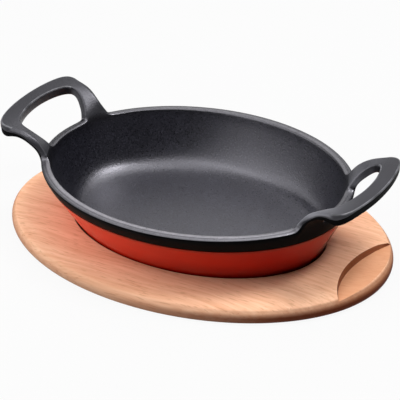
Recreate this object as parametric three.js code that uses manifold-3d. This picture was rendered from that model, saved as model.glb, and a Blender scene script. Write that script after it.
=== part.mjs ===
// Oval cast iron pan with two loop handles, seated in the recess of an oval beech serving board.
// Millimetres, +Z up. X runs along the pan's long axis. The origin is under the middle of the board.
import * as THREE from "three";
import { mergeVertices } from "three/addons/utils/BufferGeometryUtils.js";
import Module from "manifold-3d";

// Pan: the outline of the rim and how far the outside draws in below it
const RIM_LENGTH = 240;
const RIM_BREADTH = 187;
const PAN_HEIGHT = 49.5;
const RIM_THICKNESS = 6.8;
const RIM_OUTER_ROUND = 2.2;
const RIM_INNER_ROUND = 1.2;
const BAND_HEIGHT = 12.4;
const BAND_DRAFT_LONG = 2.6;
const BAND_DRAFT_SHORT = 5;
const WALL_DRAFT_LONG = 16.6;
const WALL_DRAFT_SHORT = 20.4;
const BASE_ROUND = 6;
const BASE_ROUND_SWEEP = 80;
const WALL_THICKNESS = 5;
const FLOOR_THICKNESS = 5.5;
const FLOOR_FILLET = 17;
const FLOOR_FILLET_SWEEP = 70;

// Coloured enamel fired on the outside, below the black band
const COAT_THICKNESS = 0.5;
const COAT_GAP = 0.3;

// Loop handles, cast in one with the pan
const HANDLE_REACH = 29.3;
const HANDLE_RISE = 24.2;
const HANDLE_SPAN = 88;
const GRIP_WIDTH = 10.8;
const GRIP_THICKNESS = 6.8;
const GRIP_BOW_RADIUS = 76;
const CORNER_RADIUS = 10;
const ARM_WIDTH = 12.4;
const ARM_THICKNESS = 6.6;
const ROOT_WIDTH = 25;
const ROOT_DEPTH = 11.6;
const ROOT_INSET = 17;
const ROOT_LEAN = 8.3;
const ROOT_EASE = 2;
const ARM_EASE = 3;
const HANDLE_EDGE_ROUND = 1.8;

// Serving board, a little longer than the pan over its grips, with the recess that holds the pan
// and a scoop for the fingers at one end
const BOARD_PAST_GRIP = 2;
const BOARD_PAST_RIM = 11.5;
const BOARD_THICKNESS = 12;
const BOARD_TOP_ROUND = 5;
const BOARD_BOTTOM_ROUND = 4.5;
const RECESS_DEPTH = 4.5;
const RECESS_CLEARANCE = 0.8;
const SEAT_GAP = 0.3;
const SCOOP_RADIUS = 75;
const SCOOP_REACH = 26.8;
const SCOOP_DEPTH = 5.2;
const SCOOP_LIP = 1.5;

// Smoothness of the facets
const OVAL_SEGMENTS = 64;
const ROUND_STEPS = 3;
const FILLET_STEPS = 5;
const ARM_STEPS = 7;
const CORNER_STEPS = 4;
const GRIP_STEPS = 5;

const seatHeight = BOARD_THICKNESS - RECESS_DEPTH;
const baseHeight = seatHeight + SEAT_GAP;
const rimHeight = baseHeight + PAN_HEIGHT;
const bandEdge = rimHeight - BAND_HEIGHT;
const coatInset = COAT_THICKNESS + COAT_GAP;
const boardEnd = RIM_LENGTH / 2 + HANDLE_REACH + BOARD_PAST_GRIP;
const boardSide = RIM_BREADTH / 2 + BOARD_PAST_RIM;

const wasm = await Module();
wasm.setup();

// One ring of an oval: half its length, half its breadth and its height
const oval = (long, short, z) => ({ long, short, z });
const inset = (ring, by, rise = 0) => oval(ring.long - by, ring.short - by, ring.z + rise);

// A solid turned from rings, from an axis point at one end to an axis point at the other
function turnOval(rings) {
  const spine = rings.map((ring, index) => new THREE.Vector2(ring.long > 0 ? 1 : 0, index));
  const geometry = new THREE.LatheGeometry(spine, OVAL_SEGMENTS);
  const place = geometry.getAttribute("position");
  for (let i = 0; i < place.count; i++) {
    const ring = rings[Math.round(place.getY(i))];
    place.setXYZ(i, place.getZ(i) * ring.long, place.getX(i) * ring.short, ring.z);
  }
  return weld(geometry);
}

// Rings of a quarter round between two directions, about an oval centre line
function roundRings(centre, radius, fromDegrees, toDegrees, steps) {
  const rings = [];
  for (let i = 0; i <= steps; i++) {
    const angle = THREE.MathUtils.degToRad(THREE.MathUtils.lerp(fromDegrees, toDegrees, i / steps));
    rings.push(inset(centre, -radius * Math.cos(angle), radius * Math.sin(angle)));
  }
  return rings;
}

function weld(geometry) {
  geometry.deleteAttribute("normal");
  geometry.deleteAttribute("uv");
  return mergeVertices(geometry, 1e-4);
}

function solid(geometry) {
  return new wasm.Manifold(
    new wasm.Mesh({
      numProp: 3,
      vertProperties: new Float32Array(geometry.getAttribute("position").array),
      triVerts: new Uint32Array(geometry.index.array),
    }),
  );
}

function geometryOf(made) {
  const mesh = made.getMesh();
  const geometry = new THREE.BufferGeometry();
  geometry.setAttribute("position", new THREE.BufferAttribute(mesh.vertProperties, mesh.numProp));
  geometry.setIndex(new THREE.BufferAttribute(mesh.triVerts, 1));
  geometry.computeVertexNormals();
  return geometry;
}

// The outside of the finished pan below its black band, coat included
const bandRing = oval(
  RIM_LENGTH / 2 - BAND_DRAFT_LONG,
  RIM_BREADTH / 2 - BAND_DRAFT_SHORT,
  bandEdge,
);
const footRing = oval(
  bandRing.long - WALL_DRAFT_LONG,
  bandRing.short - WALL_DRAFT_SHORT,
  baseHeight + BASE_ROUND,
);

// The outside wall at a height between the foot and the band
function wallRing(z) {
  const share = (z - footRing.z) / (bandRing.z - footRing.z);
  return oval(
    THREE.MathUtils.lerp(footRing.long, bandRing.long, share),
    THREE.MathUtils.lerp(footRing.short, bandRing.short, share),
    z,
  );
}

// Outside of the pan from the middle of its base to the band, moved in by a given depth
function outsideRings(depth) {
  const corner = oval(footRing.long - BASE_ROUND, footRing.short - BASE_ROUND, footRing.z);
  const foot = roundRings(corner, BASE_ROUND - depth, -90, BASE_ROUND_SWEEP - 90, ROUND_STEPS);
  return [oval(0, 0, baseHeight + depth), ...foot, inset(bandRing, depth)];
}

// The cast iron body with its interior still filled
function castBlank() {
  const rimCentre = oval(
    RIM_LENGTH / 2 - RIM_OUTER_ROUND,
    RIM_BREADTH / 2 - RIM_OUTER_ROUND,
    rimHeight - RIM_OUTER_ROUND,
  );
  const below = outsideRings(coatInset);
  below[below.length - 1] = inset(bandRing, coatInset, COAT_GAP);
  return turnOval([
    ...below,
    oval(bandRing.long, bandRing.short, bandRing.z + COAT_GAP),
    ...roundRings(rimCentre, RIM_OUTER_ROUND, 0, 90, ROUND_STEPS),
    oval(0, 0, rimHeight),
  ]);
}

// The space inside the pan, carried on up past the rim, where it leans out along the handle roots
function interior() {
  const floor = baseHeight + coatInset + FLOOR_THICKNESS;
  const low = inset(wallRing(floor + FLOOR_FILLET), WALL_THICKNESS);
  const centre = inset(low, FLOOR_FILLET);
  const band = inset(bandRing, WALL_THICKNESS + coatInset);
  const lip = oval(RIM_LENGTH / 2 - RIM_THICKNESS, RIM_BREADTH / 2 - RIM_THICKNESS, rimHeight);
  const above = HANDLE_RISE + GRIP_THICKNESS;
  return turnOval([
    oval(0, 0, floor),
    ...roundRings(centre, FLOOR_FILLET, -90, FLOOR_FILLET_SWEEP - 90, FILLET_STEPS),
    band,
    inset(lip, 0, -RIM_INNER_ROUND),
    inset(lip, -RIM_INNER_ROUND),
    inset(lip, -RIM_INNER_ROUND - ROOT_LEAN, above),
    oval(0, 0, rimHeight + above),
  ]);
}

// The handle's path in plan, from one root round the grip to the other
function handlePlan() {
  const armY = HANDLE_SPAN / 2 - ARM_WIDTH / 2;
  const gripX = RIM_LENGTH / 2 + HANDLE_REACH - GRIP_WIDTH / 2;
  const bowX = gripX - GRIP_BOW_RADIUS;
  const cornerY = armY - CORNER_RADIUS;
  const cornerX = bowX + Math.sqrt((GRIP_BOW_RADIUS - CORNER_RADIUS) ** 2 - cornerY ** 2);
  const turn = Math.atan2(cornerY, cornerX - bowX);
  const rootX = RIM_LENGTH / 2 - ROOT_INSET;
  const half = [];
  for (let i = 0; i < ARM_STEPS; i++) {
    half.push(new THREE.Vector2(THREE.MathUtils.lerp(rootX, cornerX, i / ARM_STEPS), armY));
  }
  for (let i = 0; i < CORNER_STEPS; i++) {
    const angle = THREE.MathUtils.lerp(Math.PI / 2, turn, i / CORNER_STEPS);
    half.push(new THREE.Vector2(
      cornerX + CORNER_RADIUS * Math.cos(angle),
      cornerY + CORNER_RADIUS * Math.sin(angle),
    ));
  }
  for (let i = 0; i < GRIP_STEPS; i++) {
    const angle = THREE.MathUtils.lerp(turn, 0, i / GRIP_STEPS);
    half.push(new THREE.Vector2(
      bowX + GRIP_BOW_RADIUS * Math.cos(angle),
      GRIP_BOW_RADIUS * Math.sin(angle),
    ));
  }
  const other = half.map((p) => new THREE.Vector2(p.x, -p.y)).reverse();
  return [...half, new THREE.Vector2(gripX, 0), ...other];
}

// How far along its sweep from the root to the grip a point of the handle lies, from 0 to 1
function handleSweep(x) {
  const rootX = RIM_LENGTH / 2 - ROOT_INSET;
  const gripX = RIM_LENGTH / 2 + HANDLE_REACH;
  return THREE.MathUtils.clamp((x - rootX) / (gripX - rootX), 0, 1);
}

// Level direction square to the rim's outline, outwards, at the angle of a point of the handle
function rimNormal(p) {
  return new THREE.Vector3(p.x / RIM_LENGTH ** 2, p.y / RIM_BREADTH ** 2, 0).normalize();
}

// A rounded bar section, across the handle and down from its top face
function barSection(width, thickness) {
  const r = HANDLE_EDGE_ROUND;
  const w = width / 2;
  return [
    [w - r, 0], [w, -r], [w, r - thickness], [w - r, -thickness],
    [r - w, -thickness], [-w, r - thickness], [-w, -r], [r - w, 0],
  ];
}

// One loop handle on the +X end: it rises steeply from the rim and levels out into the grip
function handle() {
  const plan = handlePlan();
  const path = plan.map((p) => {
    const rise = HANDLE_RISE * (1 - (1 - handleSweep(p.x)) ** ARM_EASE);
    return new THREE.Vector3(p.x, p.y, rimHeight + rise);
  });
  const rings = path.map((p, i) => {
    const before = path[Math.max(i - 1, 0)];
    const after = path[Math.min(i + 1, path.length - 1)];
    const flare = Math.max(0, 1 - handleSweep(p.x) / handleSweep(RIM_LENGTH / 2)) ** ROOT_EASE;
    const side = i < path.length / 2 ? -1 : 1;
    const along = after.clone().sub(before).normalize().lerp(rimNormal(p).multiplyScalar(-side), flare);
    const across = new THREE.Vector3(along.y, -along.x, 0).normalize();
    const up = across.clone().cross(along).normalize();
    const grip = THREE.MathUtils.smoothstep(p.x, RIM_LENGTH / 2, RIM_LENGTH / 2 + HANDLE_REACH - GRIP_WIDTH);
    const plain = THREE.MathUtils.lerp(ARM_WIDTH, GRIP_WIDTH, grip);
    const body = THREE.MathUtils.lerp(ARM_THICKNESS, GRIP_THICKNESS, grip);
    const width = THREE.MathUtils.lerp(plain, ROOT_WIDTH, flare);
    const thickness = THREE.MathUtils.lerp(body, ROOT_DEPTH, flare);
    return barSection(width, thickness).map(([sideways, down]) =>
      p.clone().addScaledVector(across, sideways).addScaledVector(up, down),
    );
  });
  return loft(rings);
}

// A closed skin over rings of equal count, with a flat cap on each end
function loft(rings) {
  const count = rings[0].length;
  const points = rings.flat();
  const faces = [];
  for (let i = 0; i + 1 < rings.length; i++) {
    for (let k = 0; k < count; k++) {
      const a = i * count + k;
      const b = i * count + ((k + 1) % count);
      faces.push(a, b, b + count, a, b + count, a + count);
    }
  }
  const last = (rings.length - 1) * count;
  for (let k = 1; k + 1 < count; k++) {
    faces.push(0, k + 1, k, last, last + k, last + k + 1);
  }
  const geometry = new THREE.BufferGeometry().setFromPoints(points);
  geometry.setIndex(faces);
  return geometry;
}

function panCasting() {
  const right = handle();
  const left = right.clone().rotateZ(Math.PI);
  return geometryOf(solid(castBlank()).add(solid(right)).add(solid(left)).subtract(solid(interior())));
}

function enamelCoat() {
  const skin = outsideRings(0);
  const back = outsideRings(COAT_THICKNESS).reverse();
  return geometryOf(solid(turnOval([...skin, ...back])));
}

// A tilted round cutter: its floor is deepest at the inner wall and climbs to the board's end
function scoopCutter() {
  const tilt = Math.atan2(SCOOP_DEPTH, SCOOP_REACH - SCOOP_LIP);
  const height = 2 * BOARD_THICKNESS + SCOOP_RADIUS * Math.sin(tilt);
  const cutter = new THREE.CylinderGeometry(SCOOP_RADIUS, SCOOP_RADIUS, height, OVAL_SEGMENTS);
  cutter.rotateX(Math.PI / 2);
  cutter.translate(SCOOP_RADIUS, 0, height / 2);
  cutter.rotateY(-tilt);
  cutter.translate(boardEnd - SCOOP_REACH, 0, BOARD_THICKNESS - SCOOP_DEPTH);
  return solid(weld(cutter));
}

function servingBoard() {
  const top = oval(boardEnd - BOARD_TOP_ROUND, boardSide - BOARD_TOP_ROUND, 0);
  const low = oval(boardEnd - BOARD_BOTTOM_ROUND, boardSide - BOARD_BOTTOM_ROUND, 0);
  const seated = wallRing(Math.max(BOARD_THICKNESS, footRing.z));
  const mouth = oval(seated.long + RECESS_CLEARANCE, seated.short + RECESS_CLEARANCE, BOARD_THICKNESS);
  const blank = turnOval([
    oval(0, 0, 0),
    ...roundRings(inset(low, 0, BOARD_BOTTOM_ROUND), BOARD_BOTTOM_ROUND, -90, 0, ROUND_STEPS),
    ...roundRings(inset(top, 0, BOARD_THICKNESS - BOARD_TOP_ROUND), BOARD_TOP_ROUND, 0, 90, ROUND_STEPS),
    mouth,
    inset(mouth, 0, -RECESS_DEPTH),
    oval(0, 0, seatHeight),
  ]);
  return geometryOf(solid(blank).subtract(scoopCutter()));
}

function piece(name, geometry, color, roughness, metalness) {
  const material = new THREE.MeshStandardMaterial({ color, roughness, metalness });
  const mesh = new THREE.Mesh(geometry, material);
  mesh.name = name;
  return mesh;
}

const assembly = new THREE.Group();
assembly.add(piece("pan_casting", panCasting(), 0x38373c, 0.55, 0.1));
assembly.add(piece("enamel_coat", enamelCoat(), 0xac2b15, 0.25, 0));
assembly.add(piece("serving_board", servingBoard(), 0xd59a7a, 0.6, 0));

export default assembly;
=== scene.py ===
"""An oval cast iron pan, black enamelled inside and orange outside, seated in an oval beech serving board."""

import math

import bmesh
import bpy
from mathutils import Matrix, Vector


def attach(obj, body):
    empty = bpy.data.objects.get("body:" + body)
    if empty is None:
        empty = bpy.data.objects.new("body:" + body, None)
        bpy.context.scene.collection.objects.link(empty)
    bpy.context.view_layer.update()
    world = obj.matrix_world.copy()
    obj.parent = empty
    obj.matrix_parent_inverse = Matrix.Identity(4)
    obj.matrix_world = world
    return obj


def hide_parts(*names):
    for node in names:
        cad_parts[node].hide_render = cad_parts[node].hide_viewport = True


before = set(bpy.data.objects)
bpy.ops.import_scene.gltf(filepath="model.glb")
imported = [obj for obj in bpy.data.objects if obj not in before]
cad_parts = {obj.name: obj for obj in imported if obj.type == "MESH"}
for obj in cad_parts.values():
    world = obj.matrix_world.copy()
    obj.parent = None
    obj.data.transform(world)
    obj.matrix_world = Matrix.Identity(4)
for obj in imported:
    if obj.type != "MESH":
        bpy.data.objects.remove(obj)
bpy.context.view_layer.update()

MM = 0.001
scene = bpy.context.scene
scene.view_settings.view_transform = "Standard"


# Helpers

def srgb(code):
    """An sRGB hex colour as linear RGBA."""
    parts = [int(code[i:i + 2], 16) / 255 for i in (1, 3, 5)]
    return [c / 12.92 if c <= 0.04045 else ((c + 0.055) / 1.055) ** 2.4 for c in parts] + [1.0]


def add(tree, kind, links=None, **settings):
    """A node of a tree: settings are its properties, links its input sockets by name or number.

    A Map Range takes the range that it reads as 1 and 2 and the range that it gives as 3 and 4.
    A Mix takes its two colours as 6 and 7 and gives the mixed one as output 2."""
    node = tree.nodes.new(kind)
    for name, value in settings.items():
        setattr(node, name, value)
    for name, value in (links or {}).items():
        socket = node.inputs[name]
        if isinstance(value, bpy.types.NodeSocket):
            tree.links.new(value, socket)
        else:
            socket.default_value = value
    return node


def place(name, mesh):
    piece = bpy.data.objects.new(name, mesh)
    scene.collection.objects.link(piece)
    return piece


# Pan casting: the rings of the bowl from the middle of its floor over the rim to the middle of its base,
# each half its length, half its breadth and its height in millimetres, and the turns in degrees of the columns
# of points in one quarter, which lie closer where a handle arm grows

QUARTER = [0, 7.5, 15, 19.3, 23.7, 28, 31.5, 37, 44, 52, 60, 68, 76, 83]
INSIDE = [
    (0, 0, 14.0), (34, 22, 14.05), (62, 40, 14.25), (82, 53, 14.8),
    (92.4, 62.2, 16.0), (99.0, 68.6, 19.3), (103.4, 72.9, 24.8),
    (107.3, 77.6, 33.5), (110.6, 81.8, 43), (112.5, 85.2, 51.5), (113.1, 86.5, 56.1),
]
RIM = [
    (113.7, 87.1, 57.2), (116.5, 89.9, 57.4), (116.9, 90.3, 57.1), (117.3, 90.7, 57.1), (119.2, 92.7, 56.85),
    (120.0, 93.5, 56.35), (120.25, 93.75, 55.3), (119.95, 93.1, 53.0), (118.9, 91.2, 49.5), (117.8, 89.1, 46.2),
]
OUTSIDE = [
    (117.4, 88.45, 45.3), (116.2, 87.2, 45.3), (111.4, 81.4, 36.5), (105.4, 74.0, 25.0),
    (99.0, 66.4, 14.4), (95.5, 62.8, 9.6), (91.0, 58.5, 8.75), (46, 30, 8.7), (0, 0, 8.7),
]

# Where a handle arm grows out of the rim: from its inner lip to the foot of the black band,
# and the columns of one quarter that it takes up
LIP = len(INSIDE) - 1
BAND_TOP = LIP + 6
BAND_FOOT = LIP + len(RIM)
ROOT = (2, 5)

# Stations along an arm and half the grip. The bar's section has four corners: the edge of its top towards the hole,
# the outer edge of its top, its outer edge below and its edge below towards the hole. Near the bowl the bar stands up
# like the wall it grows from, and it lies flat at the grip. Where the arm bends its outer side breaks at a shoulder.
ARM = [
    ((111.2, 23.6, 60.0), (103.2, 40.6, 60.2), (109.0, 41.6, 59.4), (116.6, 24.2, 59.6), None),
    ((113.0, 26.4, 64.2), (106.2, 39.6, 64.4), (111.9, 42.2, 64.0), (118.2, 26.6, 62.8), None),
    ((116.0, 29.1, 68.2), (109.4, 39.0, 68.6), (114.8, 43.4, 67.2), (121.0, 29.0, 65.4), (113.4, 42.4, 68.6)),
    ((119.6, 31.4, 71.9), (114.0, 39.6, 72.5), (118.2, 44.0, 69.8), (123.6, 31.2, 67.6), (117.4, 43.4, 72.4)),
    ((123.6, 33.0, 74.9), (119.4, 40.2, 75.7), (122.2, 44.4, 71.6), (126.0, 32.6, 69.4), (122.0, 44.0, 75.4)),
    ((127.4, 33.4, 76.9), (125.2, 41.6, 77.6), (126.6, 44.9, 72.4), (128.2, 32.8, 70.8), (126.8, 44.8, 76.6)),
    ((130.0, 32.4, 78.0), (130.4, 43.6, 78.7), (131.0, 45.6, 71.8), (130.2, 31.8, 71.8), (131.0, 45.7, 77.0)),
    ((131.9, 30.8, 78.9), (135.2, 45.5, 79.9), (135.8, 46.0, 70.4), (131.9, 30.6, 71.9), None),
    ((134.0, 27.2, 79.7), (142.5, 43.5, 80.9), (142.0, 43.6, 73.1), (134.0, 27.2, 72.4), None),
    ((136.5, 19.4, 80.4), (146.7, 30.9, 81.3), (146.5, 30.8, 74.6), (136.5, 19.4, 73.0), None),
    ((138.2, 9.8, 80.7), (149.5, 15.4, 81.4), (149.3, 15.3, 74.8), (138.2, 9.8, 73.3), None),
    ((138.8, 0, 80.8), (150.2, 0, 81.4), (150.0, 0, 74.8), (138.8, 0, 73.4), None),
]

# How far from a corner the bar's edge starts to round, in millimetres
EDGE = 1.0

# The states of its black enamel, in the order of the casting's materials, the last of them a painted highlight along
# the edges of the grips
MATT, DULL, SATIN, EDGE_GLINT = range(4)

# Points of the section that take the band's dull finish, the first and the one after the last: at the root all below
# the rim's edge, along the arm all from its shoulder to its inner edge below, and along the grip its outer side too.
# Where the finish widens from one station to the next, it starts along a slant.
DULL_POINTS = [(9, 20)] + [(9, 17)] * 6 + [(8, 17), (7, 17)] + [(6, 17)] * 3

# Points where the two edges of the grip's top, which carry a painted highlight, begin, and the first station where they
# show
GLINT_POINTS = (4, 5, 23, 24)
GLINT_FROM = 7

# Points closer than this are one, in millimetres
WELD = 0.01


def arm_section(top_in, top_out, low_out, low_in, shoulder):
    """Points round the bar: along its top, down its outer side, back underneath and up its inner side."""
    a, b, c, d = (Vector(p) for p in (top_in, top_out, low_out, low_in))

    def turn(before, corner, after):
        back, on = (before - corner).normalized() * EDGE, (after - corner).normalized() * EDGE
        return [corner + back, corner + (back + on) * 0.25, corner + on]

    def between(start, end):
        return [start.lerp(end, k) for k in (0.35, 0.5, 0.65)]

    if shoulder:
        s = Vector(shoulder)
        outer = turn(a, b, s) + turn(b, s, c) + turn(s, c, d)
    else:
        outer = turn(a, b, c) + between(b, c) + turn(b, c, d)
    ring = [a.lerp(b, k) for k in (0.2, 0.4, 0.6, 0.8)] + outer
    return ring + [c.lerp(d, k) for k in (0.25, 0.45, 0.65, 0.82)] + turn(c, d, a) + between(d, a) + turn(d, a, b)


def pan_casting():
    bm = bmesh.new()
    turns = [math.radians(t) for t in QUARTER + [90] + [180 - t for t in QUARTER[:0:-1]]]
    turns += [t + math.pi for t in turns]
    columns = len(turns)
    rings = []
    for long, short, z in INSIDE + RIM + OUTSIDE:
        if long == 0:
            rings.append([bm.verts.new((0, 0, z))] * columns)
            continue
        rings.append([bm.verts.new((long * math.cos(t), short * math.sin(t), z)) for t in turns])
    first, last = ROOT
    half = columns // 2
    rooted = set()
    for k in range(first, last):
        rooted |= {k, half - 1 - k, half + k, columns - 1 - k}
    for row in range(len(rings) - 1):
        for k in range(columns):
            if LIP <= row < BAND_FOOT and k in rooted:
                continue
            nxt = (k + 1) % columns
            corners = [rings[row][k], rings[row][nxt], rings[row + 1][nxt], rings[row + 1][k]]
            face = bm.faces.new(list(dict.fromkeys(corners)))
            face.material_index = DULL if row >= BAND_TOP else MATT
    for right in (1, -1):
        for back in (1, -1):
            def column(k):
                k = k if back > 0 else -k
                return (k if right > 0 else half - k) % columns
            top = [rings[LIP][column(k)] for k in range(first, last + 1)]
            foot = [rings[BAND_FOOT][column(k)] for k in range(first, last + 1)]
            between = range(LIP + 1, BAND_FOOT)
            outer = [rings[row][column(last)] for row in between]
            inner = [rings[row][column(first)] for row in between]
            before = top + outer + foot[::-1] + inner[::-1]
            for step, station in enumerate(ARM):
                ring = [bm.verts.new((right * p.x, back * p.y, p.z)) for p in arm_section(*station)]
                start, stop = DULL_POINTS[step]
                widens = step > 0 and start < DULL_POINTS[step - 1][0]
                for k in range(len(ring)):
                    nxt = (k + 1) % len(ring)
                    corners = [before[k], before[nxt], ring[nxt], ring[k]]
                    if widens and k == start:
                        bm.faces.new([corners[i] for i in (0, 1, 3)]).material_index = SATIN
                        bm.faces.new(corners[1:]).material_index = DULL
                        continue
                    face = bm.faces.new(corners)
                    # The two edges of the grip's top take the painted highlight
                    if step >= GLINT_FROM and k in GLINT_POINTS:
                        face.material_index = EDGE_GLINT
                    elif start <= k < stop:
                        face.material_index = DULL
                    else:
                        face.material_index = SATIN if step else MATT
                before = ring
    bmesh.ops.remove_doubles(bm, verts=bm.verts, dist=WELD)
    bmesh.ops.recalc_face_normals(bm, faces=bm.faces)
    bmesh.ops.scale(bm, vec=(MM, MM, MM), verts=bm.verts)
    for face in bm.faces:
        face.smooth = True
    mesh = bpy.data.meshes.new("pan_casting_look")
    bm.to_mesh(mesh)
    bm.free()
    piece = place("pan_casting_look", mesh)
    smooth = piece.modifiers.new("cast_smooth", "SUBSURF")
    smooth.levels = smooth.render_levels = 2
    return piece


# Materials

# Half length and half breadth, in millimetres, of the ovals that their patterns follow: the rim's inner lip, the line
# between the two facets of its top, the recess and the whole board
LIP_OVAL = (113.2, 86.7)
GROOVE_OVAL = (117.1, 90.5)
RECESS_OVAL = (101.5, 68.1)
BOARD_OVAL = (151.3, 105)


def new_material(name):
    material = bpy.data.materials.new(name)
    material.use_nodes = True
    return material, material.node_tree, material.node_tree.nodes["Principled BSDF"]


def from_middle(tree, where, long, short):
    """1 on the oval of the given half length and half breadth, less inside it and more outside."""
    shrink = (1 / (long * MM), 1 / (short * MM), 0)
    oval = add(tree, "ShaderNodeVectorMath", {0: where, 1: shrink}, operation="MULTIPLY").outputs[0]
    return add(tree, "ShaderNodeVectorMath", {0: oval}, operation="LENGTH").outputs["Value"]


def enamel_clouds(tree, where):
    """Where the enamel lies thicker or thinner, in patches of about 20 mm."""
    cloud = add(tree, "ShaderNodeTexNoise", {"Vector": where, "Scale": 45, "Detail": 4}).outputs[0]
    return add(tree, "ShaderNodeMapRange", {0: cloud, 1: 0.35, 2: 0.7}).outputs[0]


def sandy_skin(tree, where):
    """The skin that the mould leaves, drawn at about 1 mm, a little coarser than real so that it shows."""
    return add(tree, "ShaderNodeTexNoise", {"Vector": where, "Scale": 950, "Detail": 2, "Roughness": 0.6}).outputs[0]


def black_enamel():
    """Matt black enamel over iron: a sandy satin bowl, and along the top of the rim a ground strip, partly lighter in
    its own colour and partly by a painted highlight, that shows a light inner facet, a thin dark line of painted shade
    and a dimmer outer facet."""
    material, tree, shader = new_material("matt_black_enamel")
    where = add(tree, "ShaderNodeTexCoord").outputs["Object"]
    spot = add(tree, "ShaderNodeSeparateXYZ", {0: where})
    facing = add(tree, "ShaderNodeSeparateXYZ", {0: add(tree, "ShaderNodeNewGeometry").outputs["Normal"]})

    bowl = from_middle(tree, where, *LIP_OVAL)
    bowl = add(tree, "ShaderNodeMapRange", {0: bowl, 1: 0.985, 2: 1.0, 3: 1.0, 4: 0.0}).outputs[0]

    # The strip along the top of the rim, with scuffs of about 4 mm, and a painted highlight on the faces that look up,
    # lighter along the two long sides than at the handles, and most along the front, as the lamps fall on it
    above = add(tree, "ShaderNodeMapRange", {0: spot.outputs["Z"], 1: 0.0564, 2: 0.0568}).outputs[0]
    below = add(tree, "ShaderNodeMapRange", {0: spot.outputs["Z"], 1: 0.0574, 2: 0.0640, 3: 1.0, 4: 0.0}).outputs[0]
    level = add(tree, "ShaderNodeMapRange", {0: facing.outputs["Z"], 1: 0.75, 2: 0.95}).outputs[0]
    end = add(tree, "ShaderNodeMath", {0: spot.outputs["X"]}, operation="ABSOLUTE").outputs[0]
    flank = add(tree, "ShaderNodeMapRange", {0: end, 1: 0.07, 2: 0.1, 3: 1.0, 4: 0.5}).outputs[0]
    tip = add(tree, "ShaderNodeMapRange", {0: end, 1: 0.109, 2: 0.114, 3: 1.0, 4: 0.22}).outputs[0]
    front = add(tree, "ShaderNodeMapRange", {0: spot.outputs["Y"], 1: -0.06, 2: 0.06, 3: 1.0, 4: 0.42}).outputs[0]
    scuff = add(tree, "ShaderNodeTexNoise", {"Vector": where, "Scale": 260, "Detail": 3}).outputs[0]
    scuff = add(tree, "ShaderNodeMapRange", {0: scuff, 1: 0.3, 2: 0.62, 3: 0.7, 4: 1.0}).outputs[0]
    strip = above
    for share in (below, level, flank, tip, front, scuff):
        strip = add(tree, "ShaderNodeMath", {0: strip, 1: share}, operation="MULTIPLY").outputs[0]
    # Painted shade: a thin dark line between the two facets of the strip, and the outer facet drawn dimmer than the lit
    # inner one
    across = from_middle(tree, where, *GROOVE_OVAL)
    outer = add(tree, "ShaderNodeMapRange", {0: across, 1: 0.996, 2: 0.999}).outputs[0]
    past = add(tree, "ShaderNodeMapRange", {0: across, 1: 1.003, 2: 1.006}).outputs[0]
    facet = add(tree, "ShaderNodeMix", {0: outer, 6: srgb("#7d7b80"), 7: srgb("#242428")}, data_type="RGBA").outputs[2]
    facet = add(tree, "ShaderNodeMix", {0: past, 6: facet, 7: srgb("#5c5b60")}, data_type="RGBA").outputs[2]

    cloud = enamel_clouds(tree, where)
    inside = add(tree, "ShaderNodeMix", {0: cloud, 6: srgb("#0d0d13"), 7: srgb("#14141b")}, data_type="RGBA").outputs[2]
    sand = sandy_skin(tree, where)
    # Lighter specks on the sandy skin, partly the enamel's own texture and partly painted glints
    grain_glints = add(tree, "ShaderNodeMapRange", {0: sand, 1: 0.5, 2: 0.72}).outputs[0]
    inside = add(tree, "ShaderNodeMix", {0: grain_glints, 6: inside, 7: srgb("#3a3a44")}, data_type="RGBA").outputs[2]
    body = add(tree, "ShaderNodeMix", {0: bowl, 6: srgb("#0d0d11"), 7: inside}, data_type="RGBA")
    colour = add(tree, "ShaderNodeMix", {0: strip, 6: body.outputs[2], 7: facet}, data_type="RGBA")
    tree.links.new(colour.outputs[2], shader.inputs["Base Color"])
    satin = add(tree, "ShaderNodeMapRange", {0: sand, 1: 0.35, 2: 0.65, 3: 0.27, 4: 0.38}).outputs[0]
    tree.links.new(satin, shader.inputs["Roughness"])
    shader.inputs["IOR"].default_value = 1.6
    shader.inputs["Specular IOR Level"].default_value = 0.88
    shader.inputs["Specular Tint"].default_value = srgb("#f6f4ff")
    grip = add(tree, "ShaderNodeMapRange", {0: bowl, 3: 0.2, 4: 0.7}).outputs[0]
    bump = add(tree, "ShaderNodeBump", {"Strength": grip, "Distance": 0.00025, "Height": sand})
    tree.links.new(bump.outputs[0], shader.inputs["Normal"])
    return material


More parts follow.
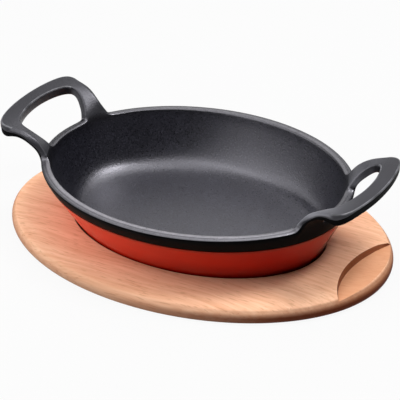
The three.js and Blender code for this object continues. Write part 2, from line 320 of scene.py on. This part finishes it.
def handle_enamel():
    """The black enamel of the arms and grips: dimmer than the bowl, satin on the arms and duller on the grips, with the
    rim's lighter strip carried on as a painted highlight along the tops of the arms where they face up, fading as they
    rise, most of it on the front arms and on the arms at the scooped end."""
    material, tree, shader = new_material("satin_black_enamel")
    where = add(tree, "ShaderNodeTexCoord").outputs["Object"]
    spot = add(tree, "ShaderNodeSeparateXYZ", {0: where})
    cloud = enamel_clouds(tree, where)
    body = add(tree, "ShaderNodeMix", {0: cloud, 6: srgb("#0d0d11"), 7: srgb("#131318")}, data_type="RGBA").outputs[2]
    facing = add(tree, "ShaderNodeSeparateXYZ", {0: add(tree, "ShaderNodeNewGeometry").outputs["Normal"]})
    # Painted highlight on the tops of the arms: lighter where they face up, on the front arms and at the scooped end
    level = add(tree, "ShaderNodeMapRange", {0: facing.outputs["Z"], 1: 0.2, 2: 0.7}).outputs[0]
    fade = add(tree, "ShaderNodeMapRange", {0: spot.outputs["Z"], 1: 0.070, 2: 0.0812, 3: 1.0, 4: 0.0}).outputs[0]
    front = add(tree, "ShaderNodeMapRange", {0: spot.outputs["Y"], 1: -0.03, 2: 0.03, 3: 1.0, 4: 0.3}).outputs[0]
    side = add(tree, "ShaderNodeMapRange", {0: spot.outputs["X"], 1: -0.08, 2: 0.08, 3: 0.22, 4: 1.0}).outputs[0]
    strip = level
    for share in (fade, front, side):
        strip = add(tree, "ShaderNodeMath", {0: strip, 1: share}, operation="MULTIPLY").outputs[0]
    colour = add(tree, "ShaderNodeMix", {0: strip, 6: body, 7: srgb("#88888f")}, data_type="RGBA")
    tree.links.new(colour.outputs[2], shader.inputs["Base Color"])
    satin = add(tree, "ShaderNodeMapRange", {0: spot.outputs["Z"], 1: 0.0745, 2: 0.0800, 3: 0.37, 4: 0.6}).outputs[0]
    tree.links.new(satin, shader.inputs["Roughness"])
    shader.inputs["Specular IOR Level"].default_value = 0.72
    shader.inputs["Specular Tint"].default_value = srgb("#f6f4ff")
    bump = add(tree, "ShaderNodeBump", {"Strength": 0.4, "Distance": 0.0003, "Height": sandy_skin(tree, where)})
    tree.links.new(bump.outputs[0], shader.inputs["Normal"])
    return material


def band_enamel():
    """The same black enamel where the mould left it dull: the band below the rim and the undersides of the handles,
    which give back almost no light, in patches of about 15 mm."""
    material, tree, shader = new_material("dull_black_enamel")
    where = add(tree, "ShaderNodeTexCoord").outputs["Object"]
    cloud = add(tree, "ShaderNodeTexNoise", {"Vector": where, "Scale": 60, "Detail": 3}).outputs[0]
    cloud = add(tree, "ShaderNodeMapRange", {0: cloud, 1: 0.35, 2: 0.7}).outputs[0]
    colour = add(tree, "ShaderNodeMix", {0: cloud, 6: srgb("#060607"), 7: srgb("#0a0a0b")}, data_type="RGBA")
    tree.links.new(colour.outputs[2], shader.inputs["Base Color"])
    shader.inputs["Roughness"].default_value = 0.5
    shader.inputs["Specular IOR Level"].default_value = 0.02
    return material


def edge_glint_enamel():
    """A painted highlight along the rounded edges of the grips' tops: the black enamel drawn as a fine lighter line
    where they catch the lamps, stronger and weaker every 8 mm or so."""
    material, tree, shader = new_material("edge_glint_black_enamel")
    where = add(tree, "ShaderNodeTexCoord").outputs["Object"]
    glint = add(tree, "ShaderNodeTexNoise", {"Vector": where, "Scale": 120, "Detail": 3}).outputs[0]
    glint = add(tree, "ShaderNodeMapRange", {0: glint, 1: 0.35, 2: 0.65}).outputs[0]
    colour = add(tree, "ShaderNodeMix", {0: glint, 6: srgb("#36363b"), 7: srgb("#6a6a70")}, data_type="RGBA")
    tree.links.new(colour.outputs[2], shader.inputs["Base Color"])
    shader.inputs["Roughness"].default_value = 0.4
    shader.inputs["Specular IOR Level"].default_value = 0.6
    return material


def orange_enamel():
    """Vitreous enamel: gloss over a deep orange red, a little uneven where the glass ran, with painted shade that makes
    it lighter towards the left end and deeper towards the scooped end, and deeper again at the foot by the recess, most
    towards the scooped end; it is also dark along its top edge, just under the black band. The glass ran in tongues of
    about 35 mm and set with ripples of about 4 mm."""
    material, tree, shader = new_material("orange_vitreous_enamel")
    where = add(tree, "ShaderNodeTexCoord").outputs["Object"]
    flow = add(tree, "ShaderNodeTexNoise", {"Vector": where, "Scale": 28, "Detail": 3}).outputs[0]
    flow = add(tree, "ShaderNodeMapRange", {0: flow, 1: 0.3, 2: 0.7}).outputs[0]
    flow = add(tree, "ShaderNodeMath", {0: flow, 1: 0.02}, operation="MULTIPLY").outputs[0]
    spot = add(tree, "ShaderNodeSeparateXYZ", {0: where}).outputs
    # Painted shade across the coat: lighter towards the left end, deeper towards the scooped end, with the glass's run
    # mixed in
    side_shade_and_flow = add(tree, "ShaderNodeMath", {0: spot["X"], 1: flow}, operation="ADD").outputs[0]
    side_shade_and_flow = add(tree, "ShaderNodeMapRange", {0: side_shade_and_flow, 1: -0.04, 2: 0.10}).outputs[0]
    glaze = add(tree, "ShaderNodeMix", {0: side_shade_and_flow, 6: srgb("#f02c0b"), 7: srgb("#a81404")}, data_type="RGBA").outputs[2]
    # Painted shade at the foot, by the recess, stronger towards the scooped end
    foot_shade = add(tree, "ShaderNodeMapRange", {0: spot["Z"], 1: 0.010, 2: 0.030, 3: 0.8, 4: 0.0}).outputs[0]
    ran = add(tree, "ShaderNodeMapRange", {0: side_shade_and_flow, 3: 0.35, 4: 1.0}).outputs[0]
    foot_shade = add(tree, "ShaderNodeMath", {0: foot_shade, 1: ran}, operation="MULTIPLY").outputs[0]
    glaze = add(tree, "ShaderNodeMix", {0: foot_shade, 6: glaze, 7: srgb("#841004")}, data_type="RGBA").outputs[2]
    # Darker along the top edge, just under the black band
    thin = add(tree, "ShaderNodeMapRange", {0: spot["Z"], 1: 0.0412, 2: 0.0446, 3: 0.0, 4: 0.6}).outputs[0]
    colour = add(tree, "ShaderNodeMix", {0: thin, 6: glaze, 7: srgb("#5c1206")}, data_type="RGBA")
    tree.links.new(colour.outputs[2], shader.inputs["Base Color"])
    shader.inputs["Roughness"].default_value = 0.25
    shader.inputs["IOR"].default_value = 1.52
    shader.inputs["Specular IOR Level"].default_value = 0.12
    skin = add(tree, "ShaderNodeTexNoise", {"Vector": where, "Scale": 240, "Detail": 2}).outputs[0]
    bump = add(tree, "ShaderNodeBump", {"Strength": 0.1, "Distance": 0.0004, "Height": skin})
    tree.links.new(bump.outputs[0], shader.inputs["Normal"])
    return material


def beech():
    """Oiled steamed beech: pinkish tan, growth bands and fine fibres along the board, short dark flecks, browner where
    the end grain shows, a freshly cut tone in the scoop, painted shade along the lower edge where it turns away from
    the lamps, most at the scooped end, and a painted shadow as a dark ring against the wall of the recess, where the
    gap round the pan lies in shade."""
    material, tree, shader = new_material("oiled_beech")
    where = add(tree, "ShaderNodeTexCoord").outputs["Object"]
    spot = add(tree, "ShaderNodeSeparateXYZ", {0: where}).outputs["X"]
    wander = add(tree, "ShaderNodeTexNoise", {"Vector": where, "Scale": 9, "Detail": 2}).outputs["Color"]
    drift = add(tree, "ShaderNodeVectorMath", {0: wander, 1: (0.5, 0.5, 0.5)}, operation="SUBTRACT").outputs[0]
    drift = add(tree, "ShaderNodeVectorMath", {0: drift, 1: (0, 0.02, 0.02)}, operation="MULTIPLY").outputs[0]
    along = add(tree, "ShaderNodeVectorMath", {0: where, 1: drift}, operation="ADD").outputs[0]

    def streaks(size, detail):
        """Noise drawn out along the board; size is features per metre along, across and up."""
        drawn = add(tree, "ShaderNodeVectorMath", {0: along, 1: size}, operation="MULTIPLY").outputs[0]
        return add(tree, "ShaderNodeTexNoise", {"Vector": drawn, "Scale": 1, "Detail": detail}).outputs[0]

    # Growth bands about 17 mm wide, fibres 2 mm wide, drawn coarser than real so that they show, and flecks 1 mm wide
    bands = streaks((3, 60, 60), 4)
    bands = add(tree, "ShaderNodeMapRange", {0: bands, 1: 0.3, 2: 0.7, 3: 0.0, 4: 0.4}).outputs[0]
    fibres = streaks((16, 430, 430), 4)
    hairs = add(tree, "ShaderNodeMapRange", {0: fibres, 1: 0.3, 2: 0.7, 3: 0.0, 4: 0.6}).outputs[0]
    tone = add(tree, "ShaderNodeMath", {0: bands, 1: hairs}, operation="ADD").outputs[0]
    wood = add(tree, "ShaderNodeMix", {0: tone, 6: srgb("#e3a681"), 7: srgb("#ffcfac")}, data_type="RGBA").outputs[2]
    flecks = streaks((95, 820, 820), 1)
    flecks = add(tree, "ShaderNodeMapRange", {0: flecks, 1: 0.6, 2: 0.7, 3: 0.0, 4: 0.32}).outputs[0]
    wood = add(tree, "ShaderNodeMix", {0: flecks, 6: wood, 7: srgb("#b5734b")}, data_type="RGBA").outputs[2]
    facing = add(tree, "ShaderNodeSeparateXYZ", {0: add(tree, "ShaderNodeNewGeometry").outputs["Normal"]})

    # End grain, the scoop's floor, which alone faces the pan at that end, and painted shade along the lower edge
    end = add(tree, "ShaderNodeMath", {0: facing.outputs["X"]}, operation="ABSOLUTE").outputs[0]
    end = add(tree, "ShaderNodeMapRange", {0: end, 1: 0.4, 2: 0.95, 3: 0.0, 4: 0.75}).outputs[0]
    wood = add(tree, "ShaderNodeMix", {0: end, 6: wood, 7: srgb("#a0582c")}, data_type="RGBA").outputs[2]
    cut = add(tree, "ShaderNodeMapRange", {0: facing.outputs["X"], 1: -0.08, 2: -0.15, 3: 0.0, 4: 0.7}).outputs[0]
    far = add(tree, "ShaderNodeMath", {0: spot, 1: 0.118}, operation="GREATER_THAN").outputs[0]
    cut = add(tree, "ShaderNodeMath", {0: cut, 1: far}, operation="MULTIPLY").outputs[0]
    wood = add(tree, "ShaderNodeMix", {0: cut, 6: wood, 7: srgb("#d6946a")}, data_type="RGBA").outputs[2]
    # Painted shade on faces that turn down, deepest towards the scooped end and at the board's outer edge
    low = add(tree, "ShaderNodeMapRange", {0: facing.outputs["Z"], 1: 0.8, 2: 0.08, 3: 0.0, 4: 0.94}).outputs[0]
    edge_shade_by_side = add(tree, "ShaderNodeMapRange", {0: spot, 1: -0.01, 2: 0.11, 3: 0.32, 4: 1.0}).outputs[0]
    outside = from_middle(tree, where, *BOARD_OVAL)
    outside = add(tree, "ShaderNodeMapRange", {0: outside, 1: 0.94, 2: 0.98, 3: 0.45, 4: 1.0}).outputs[0]
    for share in (edge_shade_by_side, outside):
        low = add(tree, "ShaderNodeMath", {0: low, 1: share}, operation="MULTIPLY").outputs[0]
    wood = add(tree, "ShaderNodeMix", {0: low, 6: wood, 7: srgb("#622408")}, data_type="RGBA").outputs[2]

    # A painted shadow: the dark ring against the wall of the recess stands in for the shade in the gap round the pan
    reach = from_middle(tree, where, *RECESS_OVAL)
    ring = add(tree, "ShaderNodeMapRange", {0: reach, 1: 0.92, 2: 0.96}).outputs[0]
    inside = add(tree, "ShaderNodeMapRange", {0: reach, 1: 0.997, 2: 1.001, 3: 1.0, 4: 0.0}).outputs[0]
    gap_shadow = add(tree, "ShaderNodeMath", {0: ring, 1: inside}, operation="MULTIPLY").outputs[0]
    wood = add(tree, "ShaderNodeMix", {0: gap_shadow, 6: wood, 7: srgb("#34180b")}, data_type="RGBA").outputs[2]
    tree.links.new(wood, shader.inputs["Base Color"])
    shader.inputs["Roughness"].default_value = 0.55
    shader.inputs["Specular IOR Level"].default_value = 0.06
    bump = add(tree, "ShaderNodeBump", {"Strength": 0.25, "Distance": 0.0003, "Height": fibres})
    tree.links.new(bump.outputs[0], shader.inputs["Normal"])
    return material


# Coat and board: ovals whose section is turned about the upright axis, by Geometry Nodes.
# A corner of the section holds half its length, half its breadth and its height, and has a round of its own.

AROUND = 193
ROUND_STEPS = 8
CRISP = math.radians(20)
CLOSE = 0.002 * MM


def turned_oval(name, sizes, section, cut, material):
    """The piece whose section is given: AROUND columns go round it, its rounds have ROUND_STEPS facets, points closer
    than CLOSE are one, and edges that turn by more than CRISP stay crisp."""
    tree = bpy.data.node_groups.new(name + "_tree", "GeometryNodeTree")
    tree.interface.new_socket("Geometry", in_out="OUTPUT", socket_type="NodeSocketGeometry")
    sockets = [tree.interface.new_socket(s, in_out="INPUT", socket_type="NodeSocketFloat") for s in sizes]
    size = add(tree, "NodeGroupInput").outputs
    corners = section(tree, size)
    number = add(tree, "GeometryNodeInputIndex").outputs[0]
    points = add(tree, "GeometryNodeIndexSwitch", {0: number}, data_type="VECTOR")
    rounds = add(tree, "GeometryNodeIndexSwitch", {0: number}, data_type="FLOAT")
    for k, (point, radius) in enumerate(corners):
        for switch, value in ((points, point), (rounds, radius)):
            if k > 1:
                switch.index_switch_items.new()
            if isinstance(value, bpy.types.NodeSocket):
                tree.links.new(value, switch.inputs[k + 1])
    line = add(tree, "GeometryNodeMeshLine", {"Count": len(corners)})
    line = add(tree, "GeometryNodeSetPosition", {"Geometry": line.outputs[0], "Position": points.outputs[0]})
    line = add(tree, "GeometryNodeMeshToCurve", {0: line.outputs[0]})
    line = add(tree, "GeometryNodeFilletCurve", {
        "Curve": line.outputs[0], "Radius": rounds.outputs[0], "Count": ROUND_STEPS, "Limit Radius": True,
    }, mode="POLY").outputs[0]
    count = add(tree, "GeometryNodeAttributeDomainSize", {0: line}, component="CURVE").outputs["Point Count"]

    # A grid whose columns go round the oval and whose rows follow the section
    grid = add(tree, "GeometryNodeMeshGrid", {"Size X": 1, "Size Y": 1, "Vertices X": AROUND, "Vertices Y": count})
    spot = add(tree, "GeometryNodeInputPosition").outputs[0]
    cell = add(tree, "ShaderNodeSeparateXYZ", {0: spot})
    last = add(tree, "ShaderNodeMath", {0: count, 1: 1.0}, operation="SUBTRACT").outputs[0]
    row = add(tree, "ShaderNodeMapRange", {0: cell.outputs["Y"], 1: -0.5, 2: 0.5, 3: 0.0, 4: last}).outputs[0]
    row = add(tree, "ShaderNodeMath", {0: row}, operation="ROUND").outputs[0]
    turn = add(tree, "ShaderNodeMapRange", {0: cell.outputs["X"], 1: -0.5, 2: 0.5, 3: 0.0, 4: 2 * math.pi}).outputs[0]
    cosine = add(tree, "ShaderNodeMath", {0: turn}, operation="COSINE").outputs[0]
    sine = add(tree, "ShaderNodeMath", {0: turn}, operation="SINE").outputs[0]
    around = add(tree, "ShaderNodeCombineXYZ", {0: cosine, 1: sine, 2: 1.0}).outputs[0]
    corner = add(tree, "GeometryNodeSampleIndex", {"Geometry": line, "Index": row}, data_type="FLOAT_VECTOR")
    tree.links.new(spot, corner.inputs["Value"])
    turned = add(tree, "ShaderNodeVectorMath", {0: corner.outputs[0], 1: around}, operation="MULTIPLY").outputs[0]
    solid = add(tree, "GeometryNodeSetPosition", {"Geometry": grid.outputs["Mesh"], "Position": turned}).outputs[0]
    solid = add(tree, "GeometryNodeMergeByDistance", {"Geometry": solid, "Distance": CLOSE}).outputs[0]
    solid = cut(tree, size, solid)

    bend = add(tree, "GeometryNodeInputMeshEdgeAngle").outputs["Unsigned Angle"]
    crisp = add(tree, "ShaderNodeMath", {0: bend, 1: CRISP}, operation="GREATER_THAN").outputs[0]
    solid = add(tree, "GeometryNodeSetShadeSmooth", {"Geometry": solid, "Shade Smooth": True}, domain="FACE").outputs[0]
    solid = add(tree, "GeometryNodeSetShadeSmooth", {
        "Geometry": solid, "Selection": crisp, "Shade Smooth": False}, domain="EDGE").outputs[0]
    solid = add(tree, "GeometryNodeRealizeInstances", {0: solid}).outputs[0]
    solid = add(tree, "GeometryNodeSetMaterial", {"Geometry": solid, "Material": material}).outputs[0]
    add(tree, "NodeGroupOutput", {0: solid})

    piece = place(name, bpy.data.meshes.new(name))
    maker = piece.modifiers.new("maker", "NODES")
    maker.node_group = tree
    for socket, value in zip(sockets, sizes.values()):
        maker[socket.identifier] = value * MM
    shaped = piece.evaluated_get(bpy.context.evaluated_depsgraph_get())
    mesh = bpy.data.meshes.new_from_object(shaped)
    piece.modifiers.remove(maker)
    piece.data = mesh
    mesh.name = name
    return piece


def coat_section(tree, size):
    """From the middle of the thin shell's underside to its foot, up its outside, over its edge and down its inside
    back to the middle."""
    foot = add(tree, "ShaderNodeCombineXYZ", {
        0: size["Foot length"], 1: size["Foot breadth"], 2: size["Foot height"]}).outputs[0]
    edge = add(tree, "ShaderNodeCombineXYZ", {
        0: size["Edge length"], 1: size["Edge breadth"], 2: size["Edge height"]}).outputs[0]
    thin = size["Thickness"]
    inset = add(tree, "ShaderNodeCombineXYZ", {0: thin, 1: thin, 2: 0.0}).outputs[0]
    raised = add(tree, "ShaderNodeCombineXYZ", {0: 0.0, 1: 0.0, 2: thin}).outputs[0]
    inner_edge = add(tree, "ShaderNodeVectorMath", {0: edge, 1: inset}, operation="SUBTRACT").outputs[0]
    inner_foot = add(tree, "ShaderNodeVectorMath", {0: foot, 1: inset}, operation="SUBTRACT").outputs[0]
    inner_foot = add(tree, "ShaderNodeVectorMath", {0: inner_foot, 1: raised}, operation="ADD").outputs[0]
    middle = add(tree, "ShaderNodeCombineXYZ", {2: size["Foot height"]}).outputs[0]
    inner_middle = add(tree, "ShaderNodeVectorMath", {0: middle, 1: raised}, operation="ADD").outputs[0]
    return [
        (middle, 0), (foot, size["Foot round"]), (edge, 0),
        (inner_edge, 0), (inner_foot, size["Foot round"]), (inner_middle, 0),
    ]


def board_section(tree, size):
    """From the middle of the underside round the edge, its cheek, its slope and its brow, to the top, down into
    the recess and to its middle."""
    seat = add(tree, "ShaderNodeMath", {0: size["Thickness"], 1: size["Recess depth"]}, operation="SUBTRACT").outputs[0]
    under = add(tree, "ShaderNodeCombineXYZ", {0: size["Length"], 1: size["Breadth"], 2: 0.0}).outputs[0]
    top = add(tree, "ShaderNodeCombineXYZ", {0: size["Length"], 1: size["Breadth"], 2: size["Thickness"]}).outputs[0]
    to_cheek = add(tree, "ShaderNodeCombineXYZ", {2: size["Cheek drop"]}).outputs[0]
    to_slope = add(tree, "ShaderNodeCombineXYZ", {
        0: size["Slope inset"], 1: size["Slope inset"], 2: size["Slope drop"]}).outputs[0]
    to_brow = add(tree, "ShaderNodeCombineXYZ", {0: size["Brow inset"], 1: size["Brow inset"]}).outputs[0]
    cheek, slope, brow = (
        add(tree, "ShaderNodeVectorMath", {0: top, 1: way}, operation="SUBTRACT").outputs[0]
        for way in (to_cheek, to_slope, to_brow))
    brink = add(tree, "ShaderNodeCombineXYZ", {
        0: size["Recess length"], 1: size["Recess breadth"], 2: size["Thickness"]}).outputs[0]
    base = add(tree, "ShaderNodeCombineXYZ", {0: size["Recess length"], 1: size["Recess breadth"], 2: seat}).outputs[0]
    middle = add(tree, "ShaderNodeCombineXYZ", {2: 0.0}).outputs[0]
    seat_middle = add(tree, "ShaderNodeCombineXYZ", {2: seat}).outputs[0]
    return [
        (middle, 0), (under, size["Bottom round"]), (cheek, size["Top round"]), (slope, size["Top round"]),
        (brow, size["Brow round"]), (brink, size["Brink round"]), (base, size["Brink round"]), (seat_middle, 0),
    ]


# The cutter of the scoop: how much its floor rises towards the end of the board, its height and its facets
SCOOP_TILT = math.radians(9.6)
CUTTER_HEIGHT = 30 * MM
CUTTER_FACETS = 160


def finger_scoop(tree, size, board):
    """A round cutter with its wall towards the pan, tilted so that the scoop gets shallower towards the end."""
    cutter = add(tree, "GeometryNodeMeshCylinder", {
        "Vertices": CUTTER_FACETS, "Radius": size["Scoop radius"], "Depth": CUTTER_HEIGHT}).outputs["Mesh"]
    stood = add(tree, "ShaderNodeCombineXYZ", {0: size["Scoop radius"], 2: CUTTER_HEIGHT / 2}).outputs[0]
    cutter = add(tree, "GeometryNodeTransform", {"Geometry": cutter, "Translation": stood}).outputs[0]
    wall = add(tree, "ShaderNodeMath", {0: size["Length"], 1: size["Scoop reach"]}, operation="SUBTRACT").outputs[0]
    low = add(tree, "ShaderNodeMath", {0: size["Thickness"], 1: size["Scoop depth"]}, operation="SUBTRACT").outputs[0]
    at = add(tree, "ShaderNodeCombineXYZ", {0: wall, 2: low}).outputs[0]
    cutter = add(tree, "GeometryNodeTransform", {
        "Geometry": cutter, "Translation": at, "Rotation": (0, -SCOOP_TILT, 0)}).outputs[0]
    return add(tree, "GeometryNodeMeshBoolean", {
        0: board, 1: cutter}, operation="DIFFERENCE", solver="EXACT").outputs[0]


def uncut(tree, size, solid):
    return solid


# The three pieces, with half lengths and half breadths in millimetres

casting = pan_casting()
for finish in (black_enamel, band_enamel, handle_enamel, edge_glint_enamel):
    casting.data.materials.append(finish())
coat = turned_oval("enamel_coat_look", {
    "Edge length": 117.0, "Edge breadth": 88.0, "Edge height": 44.9,
    "Foot length": 97.8, "Foot breadth": 64.6, "Foot height": 7.8,
    "Foot round": 4.0, "Thickness": 0.5,
}, coat_section, uncut, orange_enamel())
board = turned_oval("serving_board_look", {
    "Length": BOARD_OVAL[0], "Breadth": BOARD_OVAL[1], "Thickness": 12,
    "Top round": 6.0, "Brow round": 40, "Bottom round": 4.8,
    "Cheek drop": 5.2, "Slope inset": 3.0, "Slope drop": 1.4, "Brow inset": 10.5,
    "Recess length": RECESS_OVAL[0], "Recess breadth": RECESS_OVAL[1], "Recess depth": 4.5, "Brink round": 0.6,
    "Scoop radius": 75, "Scoop reach": 26.8, "Scoop depth": 5.2,
}, board_section, finger_scoop, beech())
for piece, body, node, slot in (
    (casting, "pan", "pan_casting", "black_enamelled_iron"),
    (coat, "pan", "enamel_coat", "orange_enamel"),
    (board, "board", "serving_board", "beech"),
):
    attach(piece, body)
    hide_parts(node)


# Camera, floor and light

# Where the camera stands, what it looks at, how far off it is in metres and its lens in millimetres, half the width
# of the floor in metres, the share of the floor that is plain white and the strength of the world's light
AZIMUTH, ELEVATION, ROLL = math.radians(31.37), math.radians(30.53), math.radians(-1.75)
AIM = Vector((1.87, 1.57, 30)) * MM
DISTANCE = 1.249
LENS = 153.25
FLOOR = 4
WHITE_SHARE = 0.92
FILL = 0.02

flat = math.cos(ELEVATION)
back = Vector((math.sin(AZIMUTH) * flat, -math.cos(AZIMUTH) * flat, math.sin(ELEVATION)))
level = Vector((math.cos(AZIMUTH), math.sin(AZIMUTH), 0))
upright = back.cross(level)
right = level * math.cos(ROLL) + upright * math.sin(ROLL)
up = upright * math.cos(ROLL) - level * math.sin(ROLL)
camera = bpy.data.objects.new("camera", bpy.data.cameras.new("camera"))
scene.collection.objects.link(camera)
camera.data.sensor_width = 36
camera.data.lens = LENS
camera.data.clip_end = 20
turned = Matrix((right, up, back)).transposed().to_4x4()
camera.matrix_world = Matrix.Translation(AIM + back * DISTANCE) @ turned
scene.camera = camera

floor_mesh = bpy.data.meshes.new("floor")
floor_corners = [(x * FLOOR, y * FLOOR, 0) for x, y in ((-1, -1), (1, -1), (1, 1), (-1, 1))]
floor_mesh.from_pydata(floor_corners, [], [(0, 1, 2, 3)])
floor = place("floor", floor_mesh)

# Matt white paper: to the eye nearly white by itself, with a soft share of the light and the shadows that fall on it
paper, tree, shader = new_material("white_paper")
shader.inputs["Base Color"].default_value = srgb("#b4b4b4")
shader.inputs["Roughness"].default_value = 0.9
ray = add(tree, "ShaderNodeLightPath").outputs
seen = add(tree, "ShaderNodeMath", {0: ray["Is Camera Ray"], 1: ray["Is Glossy Ray"]}, operation="ADD").outputs[0]
seen = add(tree, "ShaderNodeMath", {0: seen, 1: ray["Is Transmission Ray"]}, operation="ADD").outputs[0]
share = add(tree, "ShaderNodeMath", {0: seen, 1: WHITE_SHARE}, operation="MULTIPLY", use_clamp=True).outputs[0]
white = add(tree, "ShaderNodeEmission", {"Color": (1, 1, 1, 1), "Strength": 1.0}).outputs[0]
lit = add(tree, "ShaderNodeMixShader", {0: share, 1: shader.outputs[0], 2: white}).outputs[0]
tree.links.new(lit, tree.nodes["Material Output"].inputs["Surface"])
floor.data.materials.append(paper)

world = bpy.data.worlds.new("studio")
world.use_nodes = True
sky = world.node_tree.nodes["Background"].inputs
sky["Color"].default_value = (1, 1, 1, 1)
sky["Strength"].default_value = FILL
scene.world = world

# Soft panels, each by its place and width in metres and its power in watts, aimed at the origin
for name, spot, width, watts in (
    ("overhead_softbox", (0.47, 0.24, 1.1), 0.4, 9),
    ("top_back_softbox", (0.05, 0.52, 1.1), 0.6, 4),
    ("ceiling_panel", (-0.2, -0.38, 1.48), 1.4, 11.8),
    ("front_left_panel", (-0.78, -0.88, 0.95), 1.4, 11.5),
    ("left_panel", (-1.35, -0.25, 0.4), 0.8, 3.2),
    ("back_panel", (-0.75, 1.2, 0.97), 1.3, 5.2),
):
    lamp = bpy.data.objects.new(name, bpy.data.lights.new(name, "AREA"))
    lamp.data.size = width
    lamp.data.energy = watts
    lamp.location = spot
    lamp.rotation_euler = (-lamp.location).to_track_quat("-Z", "Y").to_euler()
    scene.collection.objects.link(lamp)
